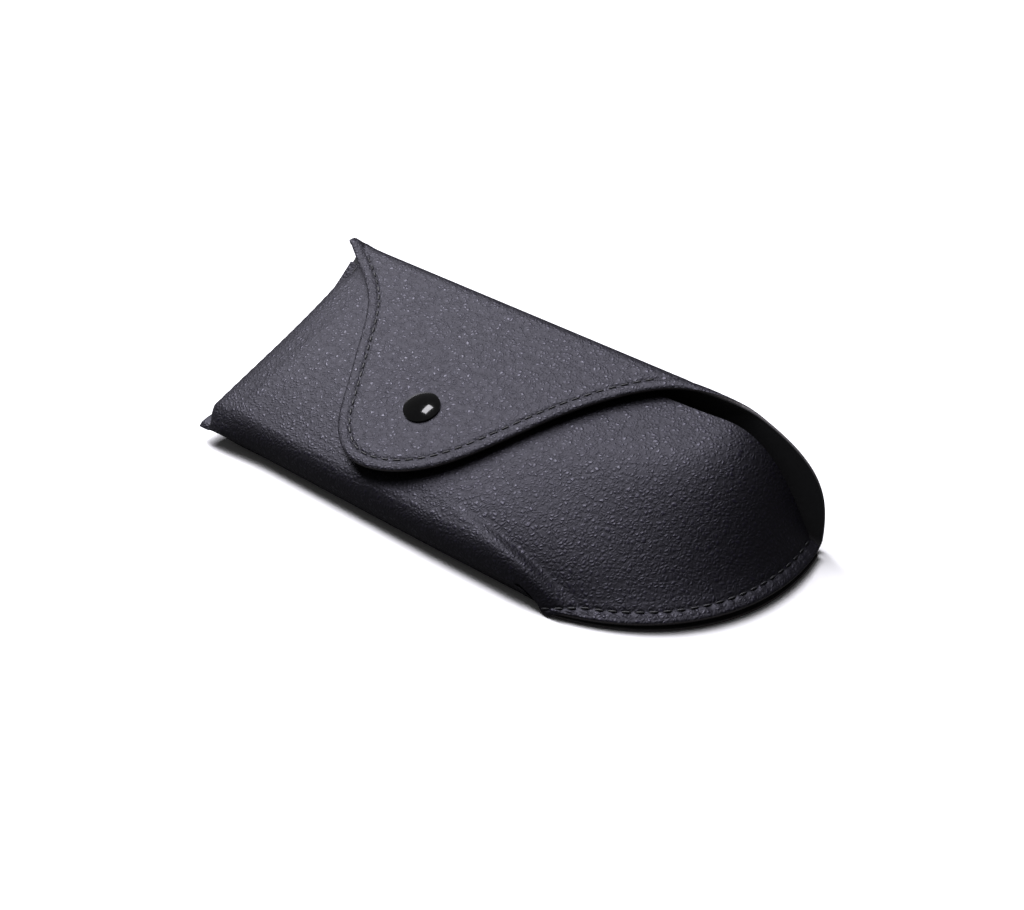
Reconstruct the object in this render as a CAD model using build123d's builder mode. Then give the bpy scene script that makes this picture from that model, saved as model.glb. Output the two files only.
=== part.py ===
from build123d import *
import math
import os

# Soft pouch glasses case in pebbled synthetic leather, lying closed on its back.
# The leather is one blank: it wraps under the pouch from the front fold, up the far
# wall, over the top fold and down again as the flap. Two seams close the ends: a
# slanting one on the left and a D-shaped one on the right, past which the far wall
# stands free as a hood. Millimetres, +Z up, the case on the plane Z = 0.
# The design coordinates start at the left seam (x) and at the front tip (y); SHIFT
# moves them so that the origin is in the middle of the case's footprint. The middle of
# the underside, which carries the weight, is pressed into a true plane at Z = 0.

# ---- driving dimensions ----------------------------------------------------------
LEATHER = 0.8            # outer synthetic leather
LINING = 0.3             # smooth inner lining bonded to it
REST_PROUD = 0.05        # the flat middle of the underside is lower than the rest by this
REST_LENGTH, REST_WIDTH = 95.0, 37.0        # size of that flat
REST_CENTRE = Vector(-2.5, -3.5, 0)
SHIFT = Vector(-81.25, -33.75, REST_PROUD)

# cross-section of the open pouch, measured on the glue line between the two layers
NOSE_Y, NOSE_Z, NOSE_R = 7.1, 5.8, 5.0      # rounded front fold: its centre and radius
FLOOR = LEATHER                             # underside lies on the table
WALL_Y = 66.65                              # far wall
HEEL_R = 14.6                               # round between the underside and the wall
FOLD_Y, FOLD_Z, FOLD_R = 63.65, 31.8, 3.0   # top fold over to the flap
MOUTH_Y, MOUTH_Z = 60.6, 30.4               # free edge of the front panel
FLAP_TILT = 18.0                            # flap slopes down to the front, degrees

# left end: a slanting seam from the front tip up to the mouth corner
TIP_Z = 5.0
CORNER_Y, CORNER_Z = 63.0, 29.0
LEFT_BULGE = 13.0        # how far in from the seam the panels reach full height

# right end: D-shaped seam on the table, then the free edge of the hood
D_SEAM = ((122.5, 2.6), (148.3, 9.6), (167.3, 31.0), (161.2, 64.0))
HOOD = ((120.0, 0.0), (154.0, 8.0), (161.5, 14.0), (160.3, 36.0))
MARGIN = 3.5             # flat seam allowance
SEAM_SHARE = 0.62        # share of the back panel's width that the D seam takes
LEFT_SHARE = 0.92        # share of it that the left seam takes

# flap outline: x, and distance down the flap from its hinge line
FLAP_LEFT = ((1.0, 0.15), (19.6, 14.0), (29.5, 29.0), (38.3, 45.0), (45.5, 56.0), (57.5, 62.0))
FLAP_RIGHT = ((57.5, 62.0), (68.0, 59.3), (77.0, 52.5), (85.0, 41.5), (93.2, 27.4),
              (104.4, 11.7), (120.0, 0.15))
HINGE_GAP = 0.15         # each leather edge stops this far from the hinge line
HINGE_LIFT = 0.2         # the flap bends just above the leather's outer surface

# ring-spring snap fastener
SNAP_X, SNAP_DOWN = 61.0, 39.0              # place on the flap
CAP_R, CAP_H = 5.1, 1.9
SOCKET_R, SOCKET_H, SOCKET_BORE = 4.6, 2.2, 2.25
ROOF = 0.6               # closed top of the socket
STUD_R, STUD_HEAD, STUD_H = 4.4, 1.65, 1.75
SNAP_GAP = 0.2           # between the closed socket and the stud's flange
RIVET_R, EYELET_R, EYELET_H = 1.2, 3.8, 0.5
SPRING_WIRE = 0.22

# stitching
STITCH_IN = 3.2          # distance from the edge
STITCH, PITCH = 2.3, 3.3
THREAD, THREAD_H = 0.45, 0.25                # width and height of a stitch
HINGE_CLEAR = 2.2        # no flap stitch is centred nearer than this to the hinge line
TABLE_CLEAR = 1.5        # nor a hood stitch nearer than this to the table

GRID_ALONG, GRID_ACROSS = 40, 48            # points that define each curved sheet
SEAM_GAP = 0.08          # left between the two linings in a seam


# ---- curves and sheets -----------------------------------------------------------
def bezier(points, t):
    """Point of a cubic curve given by four control points."""
    a, b, c, d = ((1 - t) ** 3, 3 * t * (1 - t) ** 2, 3 * t * t * (1 - t), t ** 3)
    return tuple(a * p + b * q + c * r + d * s for p, q, r, s in zip(*points))


def mix(start, end, share):
    return start + (end - start) * share


def ease(share):
    share = min(max(share, 0), 1)
    return share * share * (3 - 2 * share)


def rise(inward, reach, power):
    """Height share of a panel that swells from 0 at the seam allowance to 1 at reach."""
    share = (inward - MARGIN) / (reach - MARGIN)
    soft = 0.1
    share = min((share + math.hypot(share, soft)) / 2, 1)
    return 1 - (1 - share) ** power


def front_section(t):
    """Open front panel: up round the fold, then straight to the mouth edge."""
    reach = math.hypot(MOUTH_Y - NOSE_Y, MOUTH_Z - NOSE_Z)
    end = math.atan2(MOUTH_Z - NOSE_Z, MOUTH_Y - NOSE_Y) + math.acos(NOSE_R / reach)
    arc = NOSE_R * (math.pi - end)
    run = t * (arc + math.sqrt(reach ** 2 - NOSE_R ** 2))
    angle = math.pi - min(run, arc) / NOSE_R
    straight = max(run - arc, 0)
    return (NOSE_Y + NOSE_R * math.cos(angle) + straight * math.sin(end),
            NOSE_Z + NOSE_R * math.sin(angle) - straight * math.cos(end))


BACK_RUNS = (NOSE_R * math.pi / 2, WALL_Y - HEEL_R - NOSE_Y, HEEL_R * math.pi / 2,
             FOLD_Z - FLOOR - HEEL_R, FOLD_R * math.radians(90 + FLAP_TILT))
BACK_LENGTH = sum(BACK_RUNS)
WALL_SHARE = sum(BACK_RUNS[:3]) / BACK_LENGTH


def back_section(u):
    """Open back panel: under the fold, along the table, up the wall, over the top."""
    left, runs = u * BACK_LENGTH, []
    for length in BACK_RUNS:
        runs.append(min(max(left, 0), length))
        left -= length
    nose, heel, fold = runs[0] / NOSE_R, runs[2] / HEEL_R, runs[4] / FOLD_R
    y = NOSE_Y - NOSE_R * math.cos(nose) + runs[1] + HEEL_R * math.sin(heel)
    z = NOSE_Z - NOSE_R * math.sin(nose) + HEEL_R * (1 - math.cos(heel)) + runs[3]
    return y - FOLD_R * (1 - math.cos(fold)), z + FOLD_R * math.sin(fold)


def left_seam(t, side):
    """Left seam line; side moves it to the front or the back panel's glue line."""
    slope = math.atan(2.1 * (CORNER_Z - TIP_Z) * t ** 1.1 / CORNER_Y)
    return (CORNER_Y * t - side * math.sin(slope),
            TIP_Z + (CORNER_Z - TIP_Z) * t ** 2.1 + side * math.cos(slope))


def seam_inward(x, right_x, t):
    """Distance in from the D seam, measured square to it except at the front fold."""
    ahead, behind = bezier(D_SEAM, min(t + 0.01, 1)), bezier(D_SEAM, max(t - 0.01, 0))
    dx, dy = ahead[0] - behind[0], ahead[1] - behind[1]
    return (right_x - x) * mix(1, dy / math.hypot(dx, dy), ease(5 * t))


def front_reach(t):
    """How far from the right seam the front panel's dome reaches full height."""
    if t < 0.5:
        return mix(12, 50, ease(2 * t))
    return mix(50, 30, ease(2 * t - 1))


def front_point(s, t):
    """Front panel's glue surface: s from left to right, t from the fold to the mouth."""
    open_y, open_z = front_section(t)
    left_y, left_z = left_seam(t, LINING + SEAM_GAP / 2)
    right_x, right_y = bezier(D_SEAM, t)
    x = s * right_x
    inward = seam_inward(x, right_x, t)
    y = mix(right_y, mix(left_y, open_y, ease(x / 25)), ease(inward / 45))
    z = mix(left_z, open_z, rise(x, LEFT_BULGE + 6 * t, 2.2))
    seam_z = FLOOR + 2 * LINING + SEAM_GAP
    return x, y, mix(seam_z, z, rise(inward, front_reach(t), 2.3))


def hood_x(distance):
    """Right edge of the hood at a distance round from the hinge line."""
    low, high = 0.0, 1.0
    for _ in range(30):
        middle = (low + high) / 2
        if bezier(HOOD, middle)[1] < distance:
            low = middle
        else:
            high = middle
    return bezier(HOOD, low)[0]


def back_left(u, open_y, open_z):
    """Left edge of the back panel: the seam, then the upturned corner of the flap."""
    seam_y, seam_z = left_seam(min(u / LEFT_SHARE, 1), -LINING - SEAM_GAP / 2)
    past = max(u - LEFT_SHARE, 0) / (1 - LEFT_SHARE)
    return mix(seam_y, open_y, ease(2 * past)), mix(seam_z, open_z, ease(2 * past))


def back_right(u, open_y, open_z):
    """Right edge of the back panel: the D seam, then the hood's free edge."""
    if u <= SEAM_SHARE:
        x, y = bezier(D_SEAM, u / SEAM_SHARE)
        return x, y, FLOOR
    x = hood_x((1 - u) * BACK_LENGTH)
    if u >= WALL_SHARE:
        return x, open_y, open_z
    corner_r = WALL_Y - D_SEAM[3][1]
    turn = corner_r * math.pi / 2
    run = (u - SEAM_SHARE) / (WALL_SHARE - SEAM_SHARE) * (turn + HEEL_R - corner_r)
    angle = min(run, turn) / corner_r
    return (x, D_SEAM[3][1] + corner_r * math.sin(angle),
            FLOOR + corner_r * (1 - math.cos(angle)) + max(run - turn, 0))


def back_point(s, u):
    """Back panel's glue surface: s from left to right, u from the fold to the hinge."""
    open_y, open_z = back_section(u)
    left_y, left_z = back_left(u, open_y, open_z)
    right_x, right_y, right_z = back_right(u, open_y, open_z)
    x = s * right_x
    inward = seam_inward(x, right_x, min(u / SEAM_SHARE, 1))
    y = mix(right_y, mix(left_y, open_y, ease(x / 25)), ease(inward / 45))
    z = mix(left_z, open_z, rise(x, LEFT_BULGE + 2, 2.2))
    return x, y, mix(right_z, z, rise(inward, mix(12, 45, ease(3 * u)), 2.3))


def outward(point_at, s, t):
    """Unit normal of a sheet, pointing the way that the front panel's points up."""
    step = 1e-4
    along = Vector(*point_at(min(s + step, 1), t)) - Vector(*point_at(max(s - step, 0), t))
    across = Vector(*point_at(s, min(t + step, 1))) - Vector(*point_at(s, max(t - step, 0)))
    return along.cross(across).normalized()


def sheet_face(point_at, start, end, offset=0.0):
    """Curved face at an offset from a sheet's glue surface, from a grid of points."""
    rows = []
    for j in range(GRID_ACROSS):
        t = mix(start, end, j / (GRID_ACROSS - 1))
        row = []
        for i in range(GRID_ALONG):
            s = (1 - math.cos(math.pi * i / (GRID_ALONG - 1))) / 2
            row.append(Vector(*point_at(s, t)) + outward(point_at, s, t) * offset + SHIFT)
        rows.append(row)
    return Face.make_surface_from_array_of_points(rows, tol=0.02)


def layer(glue_face, other_face):
    """Solid between two faces, closed by ruled strips along their matching edges."""
    strips = []
    for edge in glue_face.edges():
        match = other_face.edges().sort_by(lambda other: (other @ 0.5 - edge @ 0.5).length)[0]
        strips.append(Face.make_surface_from_curves(edge, match))
    return Solid(Shell([glue_face, other_face] + strips))


def stitch_places(point_at, path, offset):
    """Planes for stitches one pitch apart, on a path of (s, t) values over a sheet."""
    steps = 600
    places, walked = [], PITCH
    last = Vector(*point_at(*path(0)))
    for k in range(1, steps + 1):
        s, t = path(k / steps)
        here = Vector(*point_at(s, t))
        walked += (here - last).length
        if walked >= PITCH:
            normal = outward(point_at, s, t) * math.copysign(1, offset)
            centre = here + normal * (abs(offset) + THREAD_H / 2) + SHIFT
            places.append(Plane(centre, x_dir=here - last, z_dir=normal))
            walked = 0
        last = here
    return places


def left_path(k):
    t = mix(0.03, 0.96, k)
    return STITCH_IN / bezier(D_SEAM, t)[0], t


def right_path(k):
    t = mix(0.02, 0.975, k)
    right_x = bezier(D_SEAM, t)[0]
    return 1 - STITCH_IN / (seam_inward(0, right_x, t) / right_x) / right_x, t


def hood_path(k):
    """Line parallel to the hood's free edge, as s and u on the back panel."""
    k = mix(0.03, 0.93, k)
    (x, distance), (ahead_x, ahead_d) = bezier(HOOD, k), bezier(HOOD, k + 0.01)
    length = math.hypot(ahead_x - x, ahead_d - distance)
    x -= STITCH_IN * (ahead_d - distance) / length
    distance += STITCH_IN * (ahead_x - x) / length if length > 0 else 0
    return x / hood_x(distance), 1 - distance / BACK_LENGTH


os.makedirs("parts", exist_ok=True)

# ---- planes of the flap and of the snap -------------------------------------------
tilt = math.radians(FLAP_TILT)
hinge_glue = Vector(0, FOLD_Y - FOLD_R * math.sin(tilt), FOLD_Z + FOLD_R * math.cos(tilt))
flap_plane = Plane(hinge_glue + SHIFT, x_dir=(1, 0, 0),
                   z_dir=(0, -math.sin(tilt), math.cos(tilt)))
snap_plane = Plane(flap_plane.from_local_coords(Vector(SNAP_X, -SNAP_DOWN, 0)),
                   x_dir=flap_plane.x_dir, z_dir=flap_plane.z_dir)
snap_section = Plane(snap_plane.origin, x_dir=snap_plane.x_dir, z_dir=-snap_plane.y_dir)
snap_axis = Axis(snap_plane.origin, snap_plane.z_dir)
hinge_point = flap_plane.from_local_coords(Vector(0, 0, LEATHER + HINGE_LIFT))


def front_below_snap():
    """Depth of the front panel's glue line under the snap, square to the flap."""
    low, high = 0.0, 1.0
    for _ in range(40):
        t = (low + high) / 2
        point = Vector(*front_point(SNAP_X / bezier(D_SEAM, t)[0], t)) + SHIFT
        local = snap_plane.to_local_coords(point)
        low, high = (t, high) if local.Y < 0 else (low, t)
    return -local.Z


front_depth = front_below_snap()
stud_top = LINING + SOCKET_H + SNAP_GAP          # depths below the flap's glue line
stud_foot = front_depth - LEATHER - 0.15
eyelet_top = front_depth + LINING + 0.15

# ---- pouch: leather and lining ----------------------------------------------------
front_glue = sheet_face(front_point, 0.004, 1)
back_end = 1 - HINGE_GAP / BACK_LENGTH
back_glue = sheet_face(back_point, 0.003, back_end)

with BuildPart() as front_panel:
    add(layer(front_glue, sheet_face(front_point, 0.004, 1, LEATHER)))
    with BuildSketch(snap_plane.offset(-front_depth)):
        Circle(RIVET_R)
    extrude(amount=3, both=True, mode=Mode.SUBTRACT)
front_panel.part.label = "front_panel"

with BuildPart() as front_lining:
    add(layer(front_glue, sheet_face(front_point, 0.004, 1, -LINING)))
    with BuildSketch(snap_plane.offset(-front_depth)):
        Circle(RIVET_R)
    extrude(amount=3, both=True, mode=Mode.SUBTRACT)
front_lining.part.label = "front_lining"

with BuildPart() as back_panel:
    add(layer(back_glue, sheet_face(back_point, 0.003, back_end, -LEATHER)))
    with Locations(REST_CENTRE):
        Box(REST_LENGTH, REST_WIDTH, LEATHER / 2, align=(Align.CENTER, Align.CENTER, Align.MIN))
back_panel.part.label = "back_panel"

with BuildPart() as back_lining:
    add(layer(back_glue, sheet_face(back_point, 0.003, back_end, LINING)))
back_lining.part.label = "back_lining"

# ---- flap: leather and lining -----------------------------------------------------
with BuildSketch(flap_plane) as flap_outline:
    with BuildLine() as flap_edge:
        Spline(*[(x, -down) for x, down in FLAP_LEFT], tangents=[(0.8, -0.6), (1, 0)])
        Spline(*[(x, -down) for x, down in FLAP_RIGHT], tangents=[(1, 0), (1, 0.3)])
    with BuildLine():
        Line(flap_edge.line @ 1, flap_edge.line @ 0)
    make_face()
    with Locations((SNAP_X, -SNAP_DOWN)):
        Circle(RIVET_R, mode=Mode.SUBTRACT)

with BuildPart() as flap:
    extrude(flap_outline.sketch, amount=LEATHER)
flap.part.label = "flap"

with BuildPart() as flap_lining:
    extrude(flap_outline.sketch, amount=-LINING)
flap_lining.part.label = "flap_lining"

# ---- snap fastener ----------------------------------------------------------------
with BuildPart() as snap_cap:
    with BuildSketch(snap_section):
        with BuildLine():
            Polyline((0, LEATHER + CAP_H), (0, -LINING - ROOF), (RIVET_R, -LINING - ROOF),
                     (RIVET_R, LEATHER), (CAP_R, LEATHER), (CAP_R, LEATHER + 0.5))
            TangentArc((0, LEATHER + CAP_H), (CAP_R, LEATHER + 0.5), tangent=(1, 0))
        make_face()
    revolve(axis=snap_axis)
snap_cap.part.label = "snap_cap"

spring_depth = LINING + (ROOF + SOCKET_H) / 2
with BuildPart() as snap_socket:
    with BuildSketch(snap_section):
        with BuildLine():
            Polyline((RIVET_R, -LINING), (SOCKET_R, -LINING), (SOCKET_R, -LINING - SOCKET_H),
                     (SOCKET_BORE, -LINING - SOCKET_H), (SOCKET_BORE, -LINING - ROOF),
                     (RIVET_R, -LINING - ROOF), close=True)
        make_face()
        with Locations((SOCKET_BORE, -spring_depth)):
            Circle(SPRING_WIRE + 0.03, mode=Mode.SUBTRACT)
    revolve(axis=snap_axis)
    fillet(snap_socket.edges().filter_by(GeomType.CIRCLE).group_by(
        SortBy.RADIUS)[-1], radius=0.35)
snap_socket.part.label = "snap_socket"

with BuildPart() as snap_spring:
    with BuildSketch(snap_section):
        with Locations((SOCKET_BORE, -spring_depth)):
            Circle(SPRING_WIRE)
    revolve(axis=snap_axis, revolution_arc=310)
snap_spring.part.label = "snap_spring"

with BuildPart() as snap_stud:
    with BuildSketch(snap_section):
        with BuildLine():
            Polyline((RIVET_R, -stud_foot), (STUD_R, -stud_foot), (STUD_R, -stud_top),
                     (STUD_HEAD, -stud_top), (STUD_HEAD - 0.2, -stud_top + 0.5),
                     (STUD_HEAD, -stud_top + STUD_H - 0.5),
                     (STUD_HEAD - 0.4, -stud_top + STUD_H), (0, -stud_top + STUD_H),
                     (0, -stud_top + 0.6), (RIVET_R, -stud_top + 0.6), close=True)
        make_face()
    revolve(axis=snap_axis)
snap_stud.part.label = "snap_stud"

with BuildPart() as snap_eyelet:
    with BuildSketch(snap_section):
        with BuildLine():
            Polyline((0, -stud_top + 0.5), (0, -eyelet_top - EYELET_H),
                     (EYELET_R, -eyelet_top - EYELET_H), (EYELET_R, -eyelet_top),
                     (RIVET_R, -eyelet_top), (RIVET_R, -stud_top + 0.5), close=True)
        make_face()
    revolve(axis=snap_axis)
snap_eyelet.part.label = "snap_eyelet"

# ---- stitching --------------------------------------------------------------------
with BuildPart() as left_seam_thread:
    with Locations(*stitch_places(front_point, left_path, LEATHER)):
        Box(STITCH, THREAD, THREAD_H)
left_seam_thread.part.label = "left_seam_thread"

with BuildPart() as right_seam_thread:
    with Locations(*stitch_places(front_point, right_path, LEATHER)):
        Box(STITCH, THREAD, THREAD_H)
right_seam_thread.part.label = "right_seam_thread"

hood_places = stitch_places(back_point, hood_path, -LEATHER)
with BuildPart() as hood_thread:
    with Locations(*[place for place in hood_places if place.origin.Z > TABLE_CLEAR]):
        Box(STITCH, THREAD, THREAD_H)
hood_thread.part.label = "hood_thread"


def flap_stitch_places():
    """Planes for stitches one pitch apart, parallel to the flap's free edge."""
    wire = Wire([flap_plane.from_local_coords(edge) for edge in flap_edge.edges()])
    count = int((wire.length - 2 * PITCH) / PITCH)
    places = []
    for k in range(count):
        share = (k + 1.5) * PITCH / wire.length
        inward = flap_plane.z_dir.cross(wire % share)
        centre = wire @ share + inward * STITCH_IN + flap_plane.z_dir * (LEATHER + THREAD_H / 2)
        if flap_plane.to_local_coords(centre).Y < -HINGE_CLEAR:
            places.append(Plane(centre, x_dir=wire % share, z_dir=flap_plane.z_dir))
    return places


with BuildPart() as flap_thread:
    with Locations(*flap_stitch_places()):
        Box(STITCH, THREAD, THREAD_H)
flap_thread.part.label = "flap_thread"

for piece in (front_panel, front_lining, back_panel, back_lining, flap, flap_lining, snap_cap,
              snap_socket, snap_spring, snap_stud, snap_eyelet, left_seam_thread,
              right_seam_thread, hood_thread, flap_thread):
    export_step(piece.part, f"parts/{piece.part.label}.step")
    print(piece.part.label, piece.part.is_valid, len(piece.part.solids()),
          round(piece.part.volume, 2))
print("hinge", hinge_point, "snap", snap_plane.origin, "front depth", round(front_depth, 3))
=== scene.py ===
"""Soft pouch glasses case: leather, lining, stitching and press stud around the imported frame."""

import math

import bpy
import numpy as np
from bpy.props import FloatProperty, FloatVectorProperty, IntProperty, PointerProperty
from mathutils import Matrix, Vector
from mathutils.geometry import delaunay_2d_cdt


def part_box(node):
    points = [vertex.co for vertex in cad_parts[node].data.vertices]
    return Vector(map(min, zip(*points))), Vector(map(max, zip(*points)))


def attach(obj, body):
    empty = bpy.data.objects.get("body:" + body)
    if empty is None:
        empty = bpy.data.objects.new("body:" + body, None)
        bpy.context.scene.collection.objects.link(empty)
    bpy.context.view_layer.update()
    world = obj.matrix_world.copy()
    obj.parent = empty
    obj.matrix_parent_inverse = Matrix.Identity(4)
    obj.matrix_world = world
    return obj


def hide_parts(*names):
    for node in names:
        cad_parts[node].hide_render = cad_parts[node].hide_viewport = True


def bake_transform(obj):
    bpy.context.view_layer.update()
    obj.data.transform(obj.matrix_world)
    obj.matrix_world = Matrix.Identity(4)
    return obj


bl_info = {
    "name": "Soft pouch glasses case",
    "version": (1, 0, 0),
    "blender": (4, 5, 0),
    "location": "3D View > Sidebar > Pouch",
    "description": "Leather, lining, stitching and press stud of a soft glasses case",
    "category": "Add Mesh",
}

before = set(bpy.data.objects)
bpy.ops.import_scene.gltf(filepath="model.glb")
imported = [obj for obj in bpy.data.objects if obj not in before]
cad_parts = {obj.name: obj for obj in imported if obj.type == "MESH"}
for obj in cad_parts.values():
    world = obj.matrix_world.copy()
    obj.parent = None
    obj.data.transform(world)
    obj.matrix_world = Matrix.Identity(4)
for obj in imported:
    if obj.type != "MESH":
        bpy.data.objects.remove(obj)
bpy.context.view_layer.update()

# ---- the case's shape, in millimetres ----------------------------------------------
# The design starts at the left seam (x) and at the front tip (y). SHIFT moves it to the
# frame, whose origin is in the middle of the footprint.
MM = 0.001
SHIFT = np.array((-81.25, -33.75, 0.05))
LEATHER = 0.8
LINING = 0.3
SEAM_GAP = 0.08

NOSE_Y, NOSE_Z, NOSE_R = 7.1, 5.8, 5.0
FLOOR = LEATHER
WALL_Y = 66.65
HEEL_R = 14.6
FOLD_Y, FOLD_Z, FOLD_R = 63.65, 31.8, 3.0
MOUTH_Y, MOUTH_Z = 60.6, 30.4
FLAP_TILT = math.radians(18)

TIP_Z = 5.0
CORNER_Y, CORNER_Z = 63.0, 29.0
LEFT_BULGE = 13.0

D_SEAM = ((122.5, 2.6), (148.3, 9.6), (167.3, 31.0), (161.2, 64.0))
HOOD = ((120.0, 0.0), (154.0, 8.0), (161.5, 14.0), (160.3, 36.0))
MARGIN = 3.5
SEAM_SHARE = 0.62
LEFT_SHARE = 0.92

FLAP_LEFT = ((1.0, 0.15), (19.6, 14.0), (29.5, 29.0), (38.3, 45.0), (45.5, 56.0), (57.5, 62.0))
FLAP_RIGHT = ((57.5, 62.0), (68.0, 59.3), (77.0, 52.5), (85.0, 41.5), (93.2, 27.4),
              (104.4, 11.7), (120.0, 0.15))
SPLIT = 3.5              # the flap's leather starts this far round the top fold
STITCH_IN = 3.2
HINGE_CLEAR = 2.2
TABLE_CLEAR = 1.5
OVERHANG = 4.6           # how far the full left end leans out over its seam
CROWN = 2.2              # how far the front panel swells above its straight section
SEAM_RUN = (0.02, 0.975) # first and last stitch of a side seam, as shares of the seam
STITCH_SINK = 0.12       # how deep a stitch's middle lies in the leather
LEFT_RELIEF = 0.25       # share of the seam's relief that shows on the rolled left end

SNAP = (np.array(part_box("snap_eyelet")).mean(axis=0) / MM - SHIFT)[:2]
SNAP_LOW, SNAP_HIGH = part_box("snap_cap")


# ---- curves and sheets ---------------------------------------------------------------
def bezier(points, t):
    """Point of a cubic curve given by four control points."""
    a, b, c, d = ((1 - t) ** 3, 3 * t * (1 - t) ** 2, 3 * t * t * (1 - t), t ** 3)
    return tuple(a * p + b * q + c * r + d * s for p, q, r, s in zip(*points))


def mix(start, end, share):
    return start + (end - start) * share


def ease(share):
    share = np.clip(share, 0, 1)
    return share * share * (3 - 2 * share)


def rise(inward, reach, power):
    """Height share of a panel that swells from 0 at the seam allowance to 1 at reach."""
    share = (inward - MARGIN) / (reach - MARGIN)
    share = np.minimum((share + np.hypot(share, 0.1)) / 2, 1)
    return 1 - (1 - share) ** power


def front_section(t):
    """Open front panel: up round the fold, then straight to the mouth edge."""
    reach = math.hypot(MOUTH_Y - NOSE_Y, MOUTH_Z - NOSE_Z)
    end = math.atan2(MOUTH_Z - NOSE_Z, MOUTH_Y - NOSE_Y) + math.acos(NOSE_R / reach)
    arc = NOSE_R * (math.pi - end)
    run = t * (arc + math.sqrt(reach ** 2 - NOSE_R ** 2))
    angle = math.pi - min(run, arc) / NOSE_R
    straight = max(run - arc, 0)
    return (NOSE_Y + NOSE_R * math.cos(angle) + straight * math.sin(end),
            NOSE_Z + NOSE_R * math.sin(angle) - straight * math.cos(end))


BACK_RUNS = (NOSE_R * math.pi / 2, WALL_Y - HEEL_R - NOSE_Y, HEEL_R * math.pi / 2,
             FOLD_Z - FLOOR - HEEL_R, FOLD_R * (math.pi / 2 + FLAP_TILT))
BACK_LENGTH = sum(BACK_RUNS)
WALL_SHARE = sum(BACK_RUNS[:3]) / BACK_LENGTH


def back_section(u):
    """Open back panel: under the fold, along the table, up the wall, over the top."""
    left, runs = u * BACK_LENGTH, []
    for length in BACK_RUNS:
        runs.append(min(max(left, 0), length))
        left -= length
    nose, heel, fold = runs[0] / NOSE_R, runs[2] / HEEL_R, runs[4] / FOLD_R
    y = NOSE_Y - NOSE_R * math.cos(nose) + runs[1] + HEEL_R * math.sin(heel)
    z = NOSE_Z - NOSE_R * math.sin(nose) + HEEL_R * (1 - math.cos(heel)) + runs[3]
    return y - FOLD_R * (1 - math.cos(fold)), z + FOLD_R * math.sin(fold)


def left_seam(t, side):
    """Left seam line; side moves it to the front or the back panel's glue line."""
    slope = math.atan(2.1 * (CORNER_Z - TIP_Z) * t ** 1.1 / CORNER_Y)
    return (CORNER_Y * t - side * math.sin(slope),
            TIP_Z + (CORNER_Z - TIP_Z) * t ** 2.1 + side * math.cos(slope))


def seam_inward(x, right_x, t):
    """Distance in from the D seam, measured square to it except at the front fold."""
    ahead, behind = bezier(D_SEAM, min(t + 0.01, 1)), bezier(D_SEAM, max(t - 0.01, 0))
    dx, dy = ahead[0] - behind[0], ahead[1] - behind[1]
    return (right_x - x) * mix(1, dy / math.hypot(dx, dy), ease(5 * t))


def front_reach(t):
    """How far from the right seam the front panel's dome reaches full height."""
    if t < 0.5:
        return mix(20, 50, ease(2 * t))
    return mix(50, 30, ease(2 * t - 1))


def left_roll(x, t, drop):
    """The left end rolls over its seam: how far it leans out, and its share of the height."""
    share = np.clip((x - MARGIN) / (LEFT_BULGE + 6 * t - MARGIN), 0, 1)
    soft = (share + np.hypot(share, 0.03)) / 2
    lean = OVERHANG * np.clip(drop / 5.5, 0, 1) * np.sin(np.pi * np.minimum(share / 0.62, 1))
    return lean * ease(share / 0.1) * (share < 0.62), 1 - (1 - np.minimum(soft, 1)) ** 3


def front_row(shares, t):
    """Points of the front panel's glue surface across one line from left to right."""
    open_y, open_z = front_section(t)
    parting = ease(t / 0.04)
    left_y, left_z = left_seam(t, parting * (LINING + SEAM_GAP / 2))
    right_x, right_y = bezier(D_SEAM, t)
    x = shares * right_x
    inward = seam_inward(x, right_x, t)
    y = mix(right_y, mix(left_y, open_y, ease(x / 25)), ease(inward / 45))
    swell = CROWN * math.sin(math.pi * t ** 0.75)
    swell = swell * ease((np.hypot(x - SNAP[0], open_y - SNAP[1]) - 5) / 16)
    y, z = y - 0.35 * swell * ease(inward / 45) * ease(x / 25), open_z + 0.94 * swell
    lean, height = left_roll(x, t, z - left_z)
    z = left_z + (z - left_z) * height
    seam_z = FLOOR + parting * (2 * LINING + SEAM_GAP)
    return np.stack((x - lean, y, mix(seam_z, z, rise(inward, front_reach(t), 2.3))), axis=-1)


def hood_x(distance):
    """Right edge of the hood at a distance round from the hinge line."""
    low, high = 0.0, 1.0
    for _ in range(30):
        middle = (low + high) / 2
        low, high = (middle, high) if bezier(HOOD, middle)[1] < distance else (low, middle)
    return bezier(HOOD, low)[0]


def back_left(u, open_y, open_z):
    """Left edge of the back panel: the seam, then the upturned corner of the flap."""
    t = min(u / LEFT_SHARE, 1)
    seam_y, seam_z = left_seam(t, -ease(t / 0.04) * (LINING + SEAM_GAP / 2))
    past = max(u - LEFT_SHARE, 0) / (1 - LEFT_SHARE)
    return mix(seam_y, open_y, ease(2 * past)), mix(seam_z, open_z, ease(2 * past))


def back_right(u, open_y, open_z):
    """Right edge of the back panel: the D seam, then the hood's free edge."""
    if u <= SEAM_SHARE:
        x, y = bezier(D_SEAM, u / SEAM_SHARE)
        return x, y, FLOOR
    x = hood_x((1 - u) * BACK_LENGTH)
    if u >= WALL_SHARE:
        return x, open_y, open_z
    corner_r = WALL_Y - D_SEAM[3][1]
    turn = corner_r * math.pi / 2
    run = (u - SEAM_SHARE) / (WALL_SHARE - SEAM_SHARE) * (turn + HEEL_R - corner_r)
    angle = min(run, turn) / corner_r
    return (x, D_SEAM[3][1] + corner_r * math.sin(angle),
            FLOOR + corner_r * (1 - math.cos(angle)) + max(run - turn, 0))


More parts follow.
